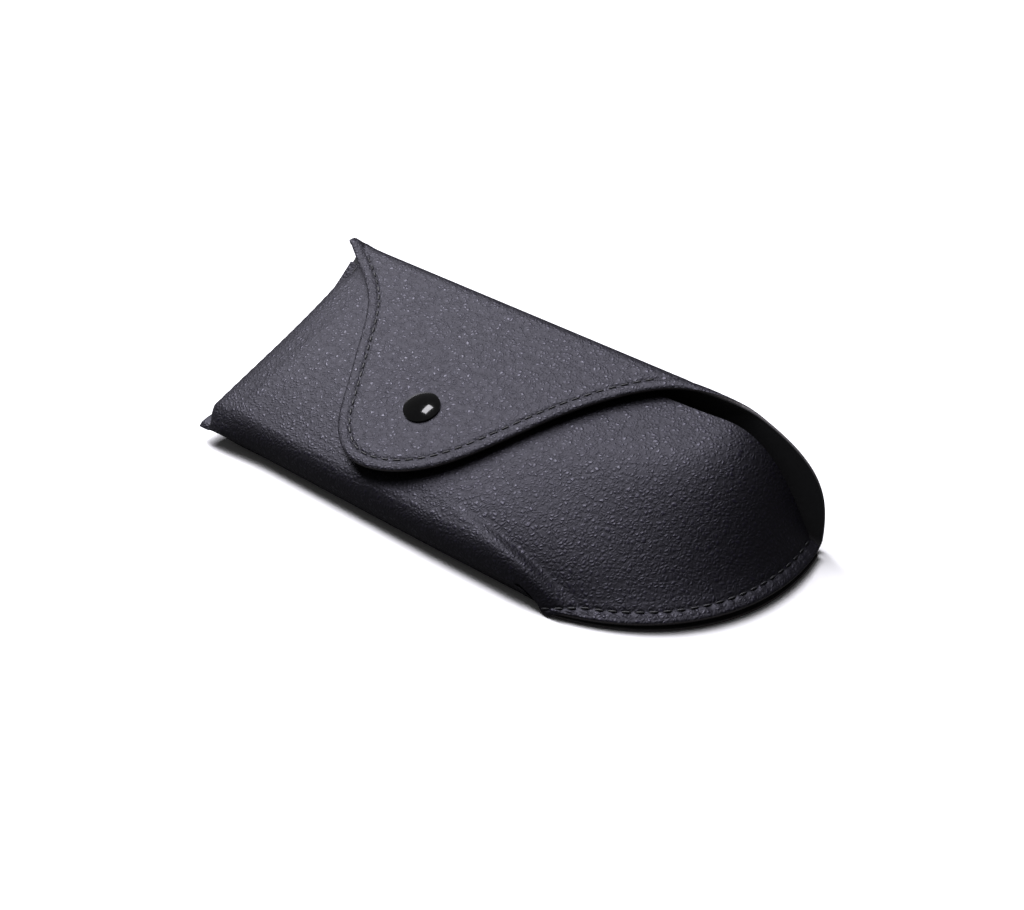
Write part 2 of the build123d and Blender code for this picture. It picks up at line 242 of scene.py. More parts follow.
def back_row(shares, u):
    """Points of the back panel's glue surface across one line from left to right."""
    open_y, open_z = back_section(u)
    left_y, left_z = back_left(u, open_y, open_z)
    right_x, right_y, right_z = back_right(u, open_y, open_z)
    x = shares * right_x
    inward = seam_inward(x, right_x, min(u / SEAM_SHARE, 1))
    y = mix(right_y, mix(left_y, open_y, ease(x / 25)), ease(inward / 45))
    z = mix(left_z, open_z, rise(x, LEFT_BULGE + 2, 2.2))
    return np.stack((x, y, mix(right_z, z, rise(inward, mix(12, 45, ease(3 * u)), 2.3))), axis=-1)


def blank_row(shares, k):
    """The pouch's blank from the mouth edge (k = -1) round the front fold (0) and up (1)."""
    return front_row(shares, -k) if k < 0 else back_row(shares, k)


def normals_of(points, shares, ends):
    """Outward unit normals of a grid of points on the blank."""
    along = np.gradient(points, shares, axis=1)
    across = np.gradient(points, ends, axis=0)
    normals = np.cross(across, along)
    return normals / np.linalg.norm(normals, axis=2, keepdims=True)


def point_and_normal(share, k):
    """One point of the blank's glue surface and the leather's outward normal there."""
    step = 1e-4
    shares = np.clip(np.array((share - step, share, share + step)), 0, 1)
    row = blank_row(shares, k)
    ahead = blank_row(shares, min(k + step, 1))[1] - blank_row(shares, max(k - step, -1))[1]
    normal = np.cross(ahead, row[2] - row[0])
    return row[1], normal / np.linalg.norm(normal)


# ---- the flap's flat pattern: x, and distance down from the hinge line ------------------
def flap_point(x, down):
    """Points of the flap's glue surface and outward normals; down is negative on the fold."""
    angle = math.pi / 2 + FLAP_TILT + np.minimum(down, 0) / FOLD_R
    flat = np.maximum(down, 0)
    points = np.stack((x, FOLD_Y + FOLD_R * np.cos(angle) - flat * math.cos(FLAP_TILT),
                       FOLD_Z + FOLD_R * np.sin(angle) - flat * math.sin(FLAP_TILT)), axis=-1)
    normals = np.stack((np.zeros_like(x), np.cos(angle), np.sin(angle)), axis=-1)
    return points, normals


def spline(points, first, last, count):
    """Smooth curve through points, with a direction at each end."""
    points = np.array(points, float)
    chords = np.linalg.norm(np.diff(points, axis=0), axis=1)
    knots = np.concatenate(([0], np.cumsum(chords)))
    size = len(points)
    matrix, right = np.zeros((size, size)), np.zeros((size, 2))
    matrix[0, 0] = matrix[-1, -1] = 1
    right[0] = np.array(first) / np.linalg.norm(first)
    right[-1] = np.array(last) / np.linalg.norm(last)
    for i in range(1, size - 1):
        before, after = chords[i - 1], chords[i]
        matrix[i, i - 1:i + 2] = after, 2 * (before + after), before
        right[i] = 3 * (after * (points[i] - points[i - 1]) / before
                        + before * (points[i + 1] - points[i]) / after)
    slopes = np.linalg.solve(matrix, right)
    made = []
    for value in np.linspace(0, knots[-1], count):
        i = min(int(np.searchsorted(knots, value, "right")) - 1, size - 2)
        h, s = chords[i], (value - knots[i]) / chords[i]
        made.append((1 + 2 * s) * (1 - s) ** 2 * points[i] + s * (1 - s) ** 2 * h * slopes[i]
                    + s * s * (3 - 2 * s) * points[i + 1] + s * s * (s - 1) * h * slopes[i + 1])
    return np.array(made)


def flap_free_edge():
    """Free edge in the flat pattern, from the left corner round to the hood at the split."""
    left = spline(FLAP_LEFT, (0.8, 0.6), (1, 0), 170)
    right = spline(FLAP_RIGHT, (1, 0), (1, -0.3), 190)
    hood = [(hood_x(d), -d) for d in np.linspace(0.4, SPLIT, 12)]
    return np.concatenate((left, right[1:], hood))


def inset_line(line, inset):
    """A line moved inwards, square to itself."""
    step = np.gradient(line, axis=0)
    inward = np.stack((step[:, 1], -step[:, 0]), axis=-1)
    inward /= np.linalg.norm(inward, axis=1, keepdims=True)
    return line + inward * inset


def distance_to(line, points):
    """Shortest distance from each point to a line of short straight pieces."""
    best = np.full(len(points), 1e9)
    for a, b in zip(line[:-1], line[1:]):
        ab = b - a
        t = np.clip((points - a) @ ab / (ab @ ab), 0, 1)
        best = np.minimum(best, np.linalg.norm(points - a - t[:, None] * ab, axis=1))
    return best


def inside(outline, points):
    """Which points lie inside a closed outline."""
    found = np.zeros(len(points), bool)
    for (ax, ay), (bx, by) in zip(outline, np.roll(outline, -1, axis=0)):
        crosses = (ay > points[:, 1]) != (by > points[:, 1])
        if ay != by:
            found ^= crosses & (points[:, 0] < (bx - ax) * (points[:, 1] - ay) / (by - ay) + ax)
    return found


def flat_pattern(spacing, insets):
    """Vertices, triangles and edge distances of the flap's flat pattern."""
    free = flap_free_edge()
    count = int(160 / spacing)
    back = np.stack((np.linspace(free[-1, 0], 0, count), np.full(count, -SPLIT)), axis=-1)[1:]
    side = np.array([(0, d) for d in np.linspace(-SPLIT, -0.2, 6)])[1:]
    outline = np.concatenate((free, back, side))
    extra = []
    for inset in insets:
        line = inset_line(free, inset)
        extra.append(line[distance_to(free, line) > inset - 0.02])
    grid_x, grid_y = np.meshgrid(np.arange(0, 162, spacing), np.arange(-SPLIT, 62, spacing))
    grid_x = grid_x + np.where(np.arange(len(grid_x)) % 2, spacing / 2, 0)[:, None]
    grid = np.stack((grid_x.ravel(), grid_y.ravel()), axis=-1)
    extra.append(grid[distance_to(free, grid) > max(insets) + spacing / 2])
    points = np.concatenate(extra)
    closed = np.concatenate((outline, outline[:1]))
    points = points[inside(outline, points)]
    points = points[distance_to(closed, points) > min(insets) * 0.8]
    vertices = [Vector(p) for p in np.concatenate((outline, points))]
    made = delaunay_2d_cdt(vertices, [], [list(range(len(outline)))], 1, 1e-6)
    flat = np.array([tuple(v) for v in made[0]])
    return flat, [list(f) for f in made[2]], distance_to(free, flat)


# ---- meshes -----------------------------------------------------------------------------
def boundary_edges(faces):
    """Directed edges that only one face has, in the order of the faces."""
    edges = dict.fromkeys((a, b) for face in faces for a, b in zip(face, face[1:] + face[:1]))
    return [(a, b) for a, b in edges if (b, a) not in edges]


def closed_sheet(name, outer, inner, faces, materials):
    """A sheet with a thickness: two skins of matching points, and the cut edge between."""
    count = len(outer)
    cut = [(b, a, a + count, b + count) for a, b in boundary_edges(faces)]
    under = [tuple(i + count for i in reversed(face)) for face in faces]
    mesh = bpy.data.meshes.new(name)
    points = (np.concatenate((outer, inner)) + SHIFT) * MM
    mesh.from_pydata(points.tolist(), [], [tuple(f) for f in faces] + under + cut)
    for material in materials:
        mesh.materials.append(material)
    is_cut = np.zeros(len(mesh.polygons), np.int32)
    is_cut[2 * len(faces):] = len(materials) - 1
    mesh.polygons.foreach_set("material_index", is_cut)
    mesh.polygons.foreach_set("use_smooth", np.ones(len(mesh.polygons), bool))
    mesh.update()
    mesh.set_sharp_from_angle(angle=math.radians(50))
    piece = bpy.data.objects.new(name, mesh)
    bpy.context.scene.collection.objects.link(piece)
    return piece


def faced(faces, points, normals):
    """Faces turned, all together, so that the first one looks along the normals."""
    a, b, c = faces[0]
    turn = np.cross(points[b] - points[a], points[c] - points[a])
    return faces if turn @ normals[a] > 0 else [face[::-1] for face in faces]


def grid_faces(rows, columns):
    """Quads of a grid whose outside faces the way of across x along."""
    faces = []
    for j in range(rows - 1):
        for i in range(columns - 1):
            a = j * columns + i
            faces.append([a, a + columns, a + columns + 1, a + 1])
    return faces


def shares_across(count):
    """Shares from left to right, closer together at the two edges."""
    even = np.linspace(0, 1, count)
    return 0.25 * even + 0.75 * (1 - np.cos(np.pi * even)) / 2


# ---- lines of stitching -------------------------------------------------------------------
def seam_line(side, start, end, count):
    """Points, outward normals and ends (k) of a stitch line on the front panel."""
    points, normals, ends = [], [], np.linspace(start, end, count)
    for t in ends:
        right_x = bezier(D_SEAM, t)[0]
        share = STITCH_IN / right_x
        if side == "right":
            share = 1 - STITCH_IN / seam_inward(0, right_x, t)
        point, normal = point_and_normal(share, -t)
        points.append(point + normal * LEATHER)
        normals.append(normal)
    return np.array(points), np.array(normals), ends


def hood_line(count):
    """Points and outward normals of the stitch line along the hood's free edge."""
    points, normals = [], []
    for k in np.linspace(0.12, 0.93, count):
        (x, distance), (ahead_x, ahead_d) = bezier(HOOD, k), bezier(HOOD, k + 0.01)
        dx, dd = ahead_x - x, ahead_d - distance
        length = math.hypot(dx, dd)
        x -= STITCH_IN * dd / length
        distance += STITCH_IN * dx / length
        point, normal = point_and_normal(x / hood_x(distance), 1 - distance / BACK_LENGTH)
        if distance > SPLIT and point[2] > TABLE_CLEAR + LEATHER:
            points.append(point + normal * LEATHER)
            normals.append(normal)
    return np.array(points), np.array(normals)


def flap_line():
    """Points and outward normals of the stitch line inside the flap's free edge."""
    free = flap_free_edge()
    line = inset_line(free, STITCH_IN)
    keep = (distance_to(free, line) > STITCH_IN - 0.02) & (line[:, 1] > HINGE_CLEAR)
    line = line[keep]
    points, normals = flap_point(line[:, 0], line[:, 1])
    lift = flap_lift(line[:, 0], line[:, 1], np.full(len(line), STITCH_IN))
    return points + normals * (LEATHER + lift)[:, None], normals


def run_of(points):
    """Distance walked along a line, at each of its points."""
    return np.concatenate(([0], np.cumsum(np.linalg.norm(np.diff(points, axis=0), axis=1))))


# ---- relief of the outer leather ------------------------------------------------------------
def rounded_edge(inward):
    """Height over the plain sheet where its cut edge is rounded."""
    return -0.3 * np.clip(1 - inward / 0.7, 0, 1) ** 2


def edge_relief(inward, walked, pitch, pull):
    """Height over the plain sheet: rounded cut edge, stitch groove and puckers."""
    groove = -0.3 * pull * np.exp(-((inward - STITCH_IN) / 0.55) ** 2)
    swell = 0.12 * pull * np.exp(-((inward - 1.7) / 0.8) ** 2)
    waves = np.cos(2 * np.pi * walked / pitch)
    near = np.exp(-((inward - 2.4) / 1.6) ** 2)
    return rounded_edge(inward) + groove + swell - 0.17 * pull * waves * near


def flap_lift(x, down, inward):
    """How far the flap stands off its plane: it puffs up round the stud and at its left corner by the
    hinge line.
    """
    cap = (SNAP_LOW + SNAP_HIGH) / 2 / MM
    cap_x = cap.x - SHIFT[0]
    cap_down = (FOLD_Y - FOLD_R * math.sin(FLAP_TILT) - (cap.y - SHIFT[1])) / math.cos(FLAP_TILT)
    away = np.hypot(x - cap_x, down - cap_down)
    puff = 0.55 * ease((away - 4.8) / 11) * ease(down / 25)
    corner = 1.3 * np.exp(-(x / 5.0) ** 2) * np.exp(-((down - 0.5) / 5.0) ** 2)
    return puff + corner


# ---- shader groups ---------------------------------------------------------------------------
def node(tree, kind, place, **settings):
    made = tree.nodes.new(kind)
    made.location = place
    for key, value in settings.items():
        setattr(made, key, value)
    return made


def group_tree(name, inputs, outputs):
    """An empty shader group with named float or vector sockets."""
    tree = bpy.data.node_groups.new(name, "ShaderNodeTree")
    for label, kind, value in inputs:
        socket = tree.interface.new_socket(label, in_out="INPUT", socket_type=kind)
        if value is not None:
            socket.default_value = value
    for label, kind in outputs:
        tree.interface.new_socket(label, in_out="OUTPUT", socket_type=kind)
    return tree, node(tree, "NodeGroupInput", (-1200, 0)), node(tree, "NodeGroupOutput", (900, 0))


def multiply(tree, place, first, second):
    made = node(tree, "ShaderNodeMath", place, operation="MULTIPLY")
    for socket, value in zip(made.inputs, (first, second)):
        if isinstance(value, (int, float)):
            socket.default_value = value
        else:
            tree.links.new(value, socket)
    return made.outputs[0]


def ramp(tree, place, value, low, high):
    """Map a value smoothly from low..high to 0..1."""
    made = node(tree, "ShaderNodeMapRange", place, interpolation_type="SMOOTHSTEP")
    tree.links.new(value, made.inputs["Value"])
    made.inputs["From Min"].default_value = low
    made.inputs["From Max"].default_value = high
    return made.outputs["Result"]


def pebble_group():
    """Pebbled grain: rounded cells with fine valleys, over broader creases."""
    tree, given, out = group_tree(
        "Pebbled grain",
        [("Vector", "NodeSocketVector", None), ("Cells per metre", "NodeSocketFloat", 900.0),
         ("Creases", "NodeSocketFloat", 0.4)],
        [("Height", "NodeSocketFloat"), ("Valley", "NodeSocketFloat"), ("Patches", "NodeSocketFloat")])
    link = tree.links.new
    warp = node(tree, "ShaderNodeTexNoise", (-1000, 250))
    warp.inputs["Scale"].default_value = 420.0
    warp.inputs["Detail"].default_value = 3.0
    link(given.outputs["Vector"], warp.inputs["Vector"])
    centred = node(tree, "ShaderNodeVectorMath", (-820, 250), operation="SUBTRACT")
    centred.inputs[1].default_value = (0.5, 0.5, 0.5)
    link(warp.outputs["Color"], centred.inputs[0])
    small = node(tree, "ShaderNodeVectorMath", (-640, 250), operation="SCALE")
    small.inputs["Scale"].default_value = 0.0016
    link(centred.outputs[0], small.inputs[0])
    moved = node(tree, "ShaderNodeVectorMath", (-460, 150), operation="ADD")
    link(given.outputs["Vector"], moved.inputs[0])
    link(small.outputs[0], moved.inputs[1])

    cells = node(tree, "ShaderNodeTexVoronoi", (-240, 300), feature="DISTANCE_TO_EDGE")
    link(moved.outputs[0], cells.inputs["Vector"])
    link(given.outputs["Cells per metre"], cells.inputs["Scale"])
    cells.inputs["Randomness"].default_value = 0.9
    pebbles = ramp(tree, (-40, 300), cells.outputs["Distance"], 0.02, 0.42)

    wide = node(tree, "ShaderNodeTexVoronoi", (-240, 0), feature="DISTANCE_TO_EDGE")
    link(moved.outputs[0], wide.inputs["Vector"])
    link(multiply(tree, (-420, -60), given.outputs["Cells per metre"], 0.36), wide.inputs["Scale"])
    creases = ramp(tree, (-40, 0), wide.outputs["Distance"], 0.0, 0.22)

    fine = node(tree, "ShaderNodeTexNoise", (-240, -280))
    fine.inputs["Scale"].default_value = 5200.0
    fine.inputs["Detail"].default_value = 2.0
    link(given.outputs["Vector"], fine.inputs["Vector"])
    patches = node(tree, "ShaderNodeTexNoise", (-240, -520))
    patches.inputs["Scale"].default_value = 70.0
    patches.inputs["Detail"].default_value = 4.0
    link(given.outputs["Vector"], patches.inputs["Vector"])

    crease_height = multiply(tree, (160, 0), creases, given.outputs["Creases"])
    height = node(tree, "ShaderNodeMath", (340, 200), operation="ADD")
    link(pebbles, height.inputs[0])
    link(crease_height, height.inputs[1])
    rough = multiply(tree, (160, -280), fine.outputs["Fac"], 0.18)
    total = node(tree, "ShaderNodeMath", (520, 150), operation="ADD")
    link(height.outputs[0], total.inputs[0])
    link(rough, total.inputs[1])
    # Valley mask: 1 in the grain's valleys and creases. The leather uses it for roughness and for
    # painted shade that darkens the valleys.
    valley = node(tree, "ShaderNodeMath", (340, -150), operation="SUBTRACT")
    valley.inputs[0].default_value = 1.0
    link(multiply(tree, (160, -150), pebbles, creases), valley.inputs[1])
    link(total.outputs[0], out.inputs["Height"])
    link(valley.outputs[0], out.inputs["Valley"])
    link(patches.outputs["Fac"], out.inputs["Patches"])
    return tree


def weave_group():
    """Fine brushed cloth: crossing threads with loose fibres."""
    tree, given, out = group_tree(
        "Brushed cloth",
        [("Vector", "NodeSocketVector", None), ("Threads per metre", "NodeSocketFloat", 2600.0)],
        [("Height", "NodeSocketFloat"), ("Fibres", "NodeSocketFloat")])
    link = tree.links.new
    threads = []
    for place, direction in ((200, "X"), (0, "Y"), (-200, "Z")):
        wave = node(tree, "ShaderNodeTexWave", (-400, place), bands_direction=direction)
        link(given.outputs["Vector"], wave.inputs["Vector"])
        link(given.outputs["Threads per metre"], wave.inputs["Scale"])
        wave.inputs["Distortion"].default_value = 1.5
        threads.append(wave.outputs["Fac"])
    crossed = multiply(tree, (-150, 100), threads[0], threads[1])
    crossed = multiply(tree, (0, 60), crossed, threads[2])
    fibres = node(tree, "ShaderNodeTexNoise", (-400, -420))
    fibres.inputs["Scale"].default_value = 3500.0
    fibres.inputs["Detail"].default_value = 5.0
    link(given.outputs["Vector"], fibres.inputs["Vector"])
    height = node(tree, "ShaderNodeMath", (200, 0), operation="ADD")
    link(crossed, height.inputs[0])
    link(fibres.outputs["Fac"], height.inputs[1])
    link(height.outputs[0], out.inputs["Height"])
    link(fibres.outputs["Fac"], out.inputs["Fibres"])
    return tree


def shared(name, make):
    """A shader group, built the first time that a material asks for it."""
    return bpy.data.node_groups.get(name) or make()


def new_material(name):
    """A material with its Principled BSDF and object coordinates."""
    material = bpy.data.materials.new(name)
    material.use_nodes = True
    tree = material.node_tree
    return material, tree, tree.nodes["Principled BSDF"], node(tree, "ShaderNodeTexCoord", (-1100, 0))


def blend_colour(tree, place, mask, low, high):
    """Colour from low to high by a mask."""
    made = node(tree, "ShaderNodeMix", place, data_type="RGBA")
    tree.links.new(mask, made.inputs["Factor"])
    for socket, colour in ((made.inputs[6], low), (made.inputs[7], high)):
        if isinstance(colour, bpy.types.NodeSocket):
            tree.links.new(colour, socket)
        else:
            socket.default_value = (*colour, 1)
    return made.outputs[2]


def bump(tree, shader, height, strength, depth):
    made = node(tree, "ShaderNodeBump", (-300, -400))
    made.inputs["Strength"].default_value = strength
    made.inputs["Distance"].default_value = depth
    tree.links.new(height, made.inputs["Height"])
    tree.links.new(made.outputs["Normal"], shader.inputs["Normal"])


def leather_material(sizes, colours):
    """Black pebbled synthetic leather with a soft sheen on the tops of the grain, and painted shade
    darkening its valleys.
    """
    material, tree, shader, place = new_material("Pebbled leather")
    grain = node(tree, "ShaderNodeGroup", (-800, 0), node_tree=shared("Pebbled grain", pebble_group))
    tree.links.new(place.outputs["Object"], grain.inputs["Vector"])
    grain.inputs["Cells per metre"].default_value = 1 / sizes.grain
    grain.inputs["Creases"].default_value = 0.5
    top = blend_colour(tree, (-500, 250), ramp(tree, (-650, 300), grain.outputs["Patches"], 0.35, 0.65),
                       [c * 0.8 for c in colours.leather], [c * 1.25 for c in colours.leather])
    # Painted shade: the valleys between the pebbles and along the creases are darkened to 0.12 of the
    # leather's colour, where shade would fall.
    colour = blend_colour(tree, (-300, 200), grain.outputs["Valley"], top,
                          [c * 0.12 for c in colours.leather])
    tree.links.new(colour, shader.inputs["Base Color"])
    gloss = node(tree, "ShaderNodeMapRange", (-500, -50))
    gloss.inputs["To Min"].default_value = 0.36
    gloss.inputs["To Max"].default_value = 0.62
    tree.links.new(grain.outputs["Valley"], gloss.inputs["Value"])
    tree.links.new(gloss.outputs["Result"], shader.inputs["Roughness"])
    shader.inputs["Specular IOR Level"].default_value = 0.42
    shader.inputs["Specular Tint"].default_value = (0.86, 0.84, 1.0, 1)
    bump(tree, shader, grain.outputs["Height"], 0.5, 0.0002)
    return material


def cut_edge_material(colours):
    """Raw cut edge of the leather: a fibrous backing under the black skin."""
    material, tree, shader, place = new_material("Cut leather edge")
    fibres = node(tree, "ShaderNodeTexNoise", (-800, 0))
    fibres.inputs["Scale"].default_value = 2600.0
    fibres.inputs["Detail"].default_value = 4.0
    tree.links.new(place.outputs["Object"], fibres.inputs["Vector"])
    mask = ramp(tree, (-600, 0), fibres.outputs["Fac"], 0.35, 0.7)
    colour = blend_colour(tree, (-400, 100), mask, [c * 0.8 for c in colours.edge],
                          [c * 1.5 for c in colours.edge])
    tree.links.new(colour, shader.inputs["Base Color"])
    shader.inputs["Roughness"].default_value = 0.7
    bump(tree, shader, fibres.outputs["Fac"], 0.6, 0.0001)
    return material


def lining_material(colours):
    """Thin black brushed lining."""
    material, tree, shader, place = new_material("Brushed lining")
    cloth = node(tree, "ShaderNodeGroup", (-800, 0), node_tree=shared("Brushed cloth", weave_group))
    tree.links.new(place.outputs["Object"], cloth.inputs["Vector"])
    colour = blend_colour(tree, (-400, 100), ramp(tree, (-600, 100), cloth.outputs["Fibres"], 0.3, 0.7),
                          [c * 0.7 for c in colours.lining], [c * 1.4 for c in colours.lining])
    tree.links.new(colour, shader.inputs["Base Color"])
    shader.inputs["Roughness"].default_value = 0.85
    shader.inputs["Sheen Weight"].default_value = 0.15
    bump(tree, shader, cloth.outputs["Height"], 0.4, 0.00008)
    return material


def thread_material(colours):
    """Black polyester sewing thread, twisted."""
    material, tree, shader, place = new_material("Sewing thread")
    twist = node(tree, "ShaderNodeTexWave", (-800, 0), bands_direction="DIAGONAL")
    twist.inputs["Scale"].default_value = 1400.0
    twist.inputs["Distortion"].default_value = 2.0
    tree.links.new(place.outputs["Object"], twist.inputs["Vector"])
    colour = blend_colour(tree, (-400, 100), twist.outputs["Fac"], [c * 0.6 for c in colours.thread],
                          [c * 1.6 for c in colours.thread])
    tree.links.new(colour, shader.inputs["Base Color"])
    shader.inputs["Roughness"].default_value = 0.5
    bump(tree, shader, twist.outputs["Fac"], 0.5, 0.00006)
    return material


def metal_material(name, colour, metallic, roughness, coat):
    """Lacquered or bare metal with faint handling marks."""
    material, tree, shader, place = new_material(name)
    marks = node(tree, "ShaderNodeTexNoise", (-800, 0))
    marks.inputs["Scale"].default_value = 900.0
    marks.inputs["Detail"].default_value = 5.0
    tree.links.new(place.outputs["Object"], marks.inputs["Vector"])
    mask = ramp(tree, (-600, 0), marks.outputs["Fac"], 0.4, 0.75)
    worn = blend_colour(tree, (-400, 150), mask, colour, [min(c * 1.3 + 0.002, 1) for c in colour])
    tree.links.new(worn, shader.inputs["Base Color"])
    gloss = node(tree, "ShaderNodeMapRange", (-400, -100))
    gloss.inputs["To Min"].default_value = roughness
    gloss.inputs["To Max"].default_value = roughness + 0.06
    tree.links.new(mask, gloss.inputs["Value"])
    tree.links.new(gloss.outputs["Result"], shader.inputs["Roughness"])
    shader.inputs["Metallic"].default_value = metallic
    shader.inputs["Coat Weight"].default_value = coat
    shader.inputs["Coat Roughness"].default_value = 0.04
    return material


def found_material(name, make):
    """A material by name, made the first time that it is needed."""
    return bpy.data.materials.get(name) or make()


def leather_pair():
    """The leather and its cut edge."""
    sizes, colours = bpy.context.scene.pouch_sizes, bpy.context.scene.pouch_colours
    return [found_material("Pebbled leather", lambda: leather_material(sizes, colours)),
            found_material("Cut leather edge", lambda: cut_edge_material(colours))]


def lining_only():
    colours = bpy.context.scene.pouch_colours
    return [found_material("Brushed lining", lambda: lining_material(colours))]


# ---- geometry nodes: a row of stitches ---------------------------------------------------------
def stitch_tree():
    """Stitches evenly spaced on a path, each a short rounded thread lying along it."""
    tree = bpy.data.node_groups.new("Row of stitches", "GeometryNodeTree")
    for label, kind in (("Geometry", "NodeSocketGeometry"), ("Count", "NodeSocketInt"),
                        ("Length", "NodeSocketFloat"), ("Width", "NodeSocketFloat"),
                        ("Height", "NodeSocketFloat"), ("Thread", "NodeSocketMaterial")):
        tree.interface.new_socket(label, in_out="INPUT", socket_type=kind)
    tree.interface.new_socket("Geometry", in_out="OUTPUT", socket_type="NodeSocketGeometry")
    link = tree.links.new
    given = node(tree, "NodeGroupInput", (-900, 0))
    curve = node(tree, "GeometryNodeMeshToCurve", (-700, 100))
    spaced = node(tree, "GeometryNodeResampleCurve", (-500, 100))
    shape = node(tree, "GeometryNodeMeshUVSphere", (-700, -200))
    shape.inputs["Segments"].default_value = 8
    shape.inputs["Rings"].default_value = 6
    shape.inputs["Radius"].default_value = 0.5
    turned = node(tree, "GeometryNodeTransform", (-500, -200))
    turned.inputs["Rotation"].default_value = (0, math.pi / 2, 0)
    sized = node(tree, "GeometryNodeTransform", (-300, -200))
    scale = node(tree, "ShaderNodeCombineXYZ", (-500, -400))
    for axis, label in zip("XYZ", ("Length", "Width", "Height")):
        link(given.outputs[label], scale.inputs[axis])
    tangent = node(tree, "GeometryNodeInputTangent", (-700, -500))
    upward = node(tree, "GeometryNodeInputNamedAttribute", (-700, -650), data_type="FLOAT_VECTOR")
    upward.inputs["Name"].default_value = "outward"
    along = node(tree, "FunctionNodeAlignRotationToVector", (-300, -500), axis="X")
    across = node(tree, "FunctionNodeAlignRotationToVector", (-100, -500), axis="Z", pivot_axis="X")
    link(tangent.outputs[0], along.inputs["Vector"])
    link(along.outputs[0], across.inputs["Rotation"])
    link(upward.outputs["Attribute"], across.inputs["Vector"])
    placed = node(tree, "GeometryNodeInstanceOnPoints", (0, 0))
    real = node(tree, "GeometryNodeRealizeInstances", (200, 0))
    smooth = node(tree, "GeometryNodeSetShadeSmooth", (400, 0))
    painted = node(tree, "GeometryNodeSetMaterial", (600, 0))
    out = node(tree, "NodeGroupOutput", (800, 0))
    link(given.outputs["Geometry"], curve.inputs[0])
    link(curve.outputs[0], spaced.inputs["Curve"])
    link(given.outputs["Count"], spaced.inputs["Count"])
    link(shape.outputs["Mesh"], turned.inputs["Geometry"])
    link(turned.outputs[0], sized.inputs["Geometry"])
    link(scale.outputs[0], sized.inputs["Scale"])
    link(spaced.outputs[0], placed.inputs["Points"])
    link(sized.outputs[0], placed.inputs["Instance"])
    link(across.outputs[0], placed.inputs["Rotation"])
    link(placed.outputs[0], real.inputs[0])
    link(real.outputs[0], smooth.inputs[0])
    link(smooth.outputs[0], painted.inputs["Geometry"])
    link(given.outputs["Thread"], painted.inputs["Material"])
    link(painted.outputs[0], out.inputs[0])
    return tree


def set_input(modifier, label, value):
    """Give a Geometry Nodes modifier one of its inputs by the socket's identifier."""
    for socket in modifier.node_group.interface.items_tree:
        if socket.in_out == "INPUT" and socket.name == label:
            modifier[socket.identifier] = value
            return
    raise RuntimeError(f"the stitch tree has no input {label}")


def stitch_row(name, points, normals, sizes, thread):
    """A plain mesh of stitches on a line of points."""
    mesh = bpy.data.meshes.new(name + "_path")
    sunk = points - normals * STITCH_SINK
    mesh.from_pydata(((sunk + SHIFT) * MM).tolist(), [(i, i + 1) for i in range(len(points) - 1)], [])
    outward = mesh.attributes.new("outward", "FLOAT_VECTOR", "POINT")
    outward.data.foreach_set("vector", normals.astype(np.float32).ravel())
    path = bpy.data.objects.new(name + "_path", mesh)
    bpy.context.scene.collection.objects.link(path)
    modifier = path.modifiers.new("Stitches", "NODES")
    modifier.node_group = bpy.data.node_groups.get("Row of stitches") or stitch_tree()
    set_input(modifier, "Count", max(2, round(run_of(points)[-1] * MM / sizes.pitch) + 1))
    set_input(modifier, "Length", sizes.stitch)
    set_input(modifier, "Width", sizes.thread)
    set_input(modifier, "Height", sizes.thread * 0.8)
    set_input(modifier, "Thread", thread)
    graph = bpy.context.evaluated_depsgraph_get()
    made = bpy.data.meshes.new_from_object(path.evaluated_get(graph), depsgraph=graph)
    bpy.data.objects.remove(path)
    made.name = name
    piece = bpy.data.objects.new(name, made)
    bpy.context.scene.collection.objects.link(piece)
    return piece


# ---- settings ---------------------------------------------------------------------------------
class PouchSizes(bpy.types.PropertyGroup):
    grain: FloatProperty(name="Grain", description="Size of one pebble of the grain",
                         default=0.00105, unit="LENGTH")
    stitch: FloatProperty(name="Stitch", description="Length of one stitch",
                          default=0.0023, unit="LENGTH")
    pitch: FloatProperty(name="Pitch", description="From one stitch to the next",
                         default=0.0033, unit="LENGTH")
    thread: FloatProperty(name="Thread", description="Thickness of the thread",
                          default=0.00055, unit="LENGTH")
    columns: IntProperty(name="Columns", description="Points across the pouch's leather",
                         default=165)
    rows: IntProperty(name="Rows", description="Points round the pouch's leather", default=255)


class PouchColours(bpy.types.PropertyGroup):
    leather: FloatVectorProperty(name="Leather", description="Black leather", subtype="COLOR",
                                 default=(0.007, 0.0055, 0.013))
    edge: FloatVectorProperty(name="Cut edge", description="Backing at the cut edge",
                              subtype="COLOR", default=(0.075, 0.068, 0.070))
    lining: FloatVectorProperty(name="Lining", description="Brushed lining", subtype="COLOR",
                                default=(0.006, 0.006, 0.008))
    thread: FloatVectorProperty(name="Thread", description="Sewing thread", subtype="COLOR",
                                default=(0.008, 0.008, 0.010))
    cap: FloatVectorProperty(name="Cap", description="Lacquered cap", subtype="COLOR",
                             default=(0.004, 0.004, 0.005))
    floor: FloatVectorProperty(name="Floor", description="Table", subtype="COLOR",
                               default=(0.95, 0.95, 0.95))


